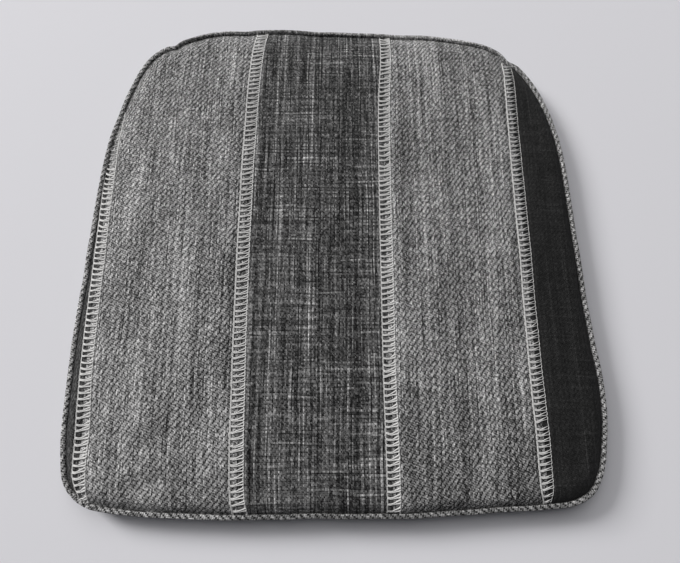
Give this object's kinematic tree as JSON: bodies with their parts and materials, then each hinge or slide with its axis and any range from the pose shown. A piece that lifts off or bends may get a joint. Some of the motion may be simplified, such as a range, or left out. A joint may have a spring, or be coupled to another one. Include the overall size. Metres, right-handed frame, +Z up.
{
  "type": "chair cushion",
  "caption": "Thin filled seat cushion with rounded corners, a slightly crowned patchwork denim top, a flat underside and corded piping round the edge seam.",
  "frame": {"origin": "centre of the cushion's bounding box, on the surface that it lies on", "axes": "+Z up through the thickness, +Y towards the back edge with the large round corners, +X to the right seen from the front"},
  "size_m": [0.4014, 0.4058, 0.0275],
  "materials": {
    "cover": "matte patchwork denim: light grey twill, dark grey slub and near-black strips",
    "piping": "matte denim strips over a round cord: grey twill, with a dark grey piece along the back",
    "thread": "light grey spun sewing thread"
  },
  "bodies": {
    "root": {"cushion": "cover", "piping": "piping"}
  },
  "joints": []
}
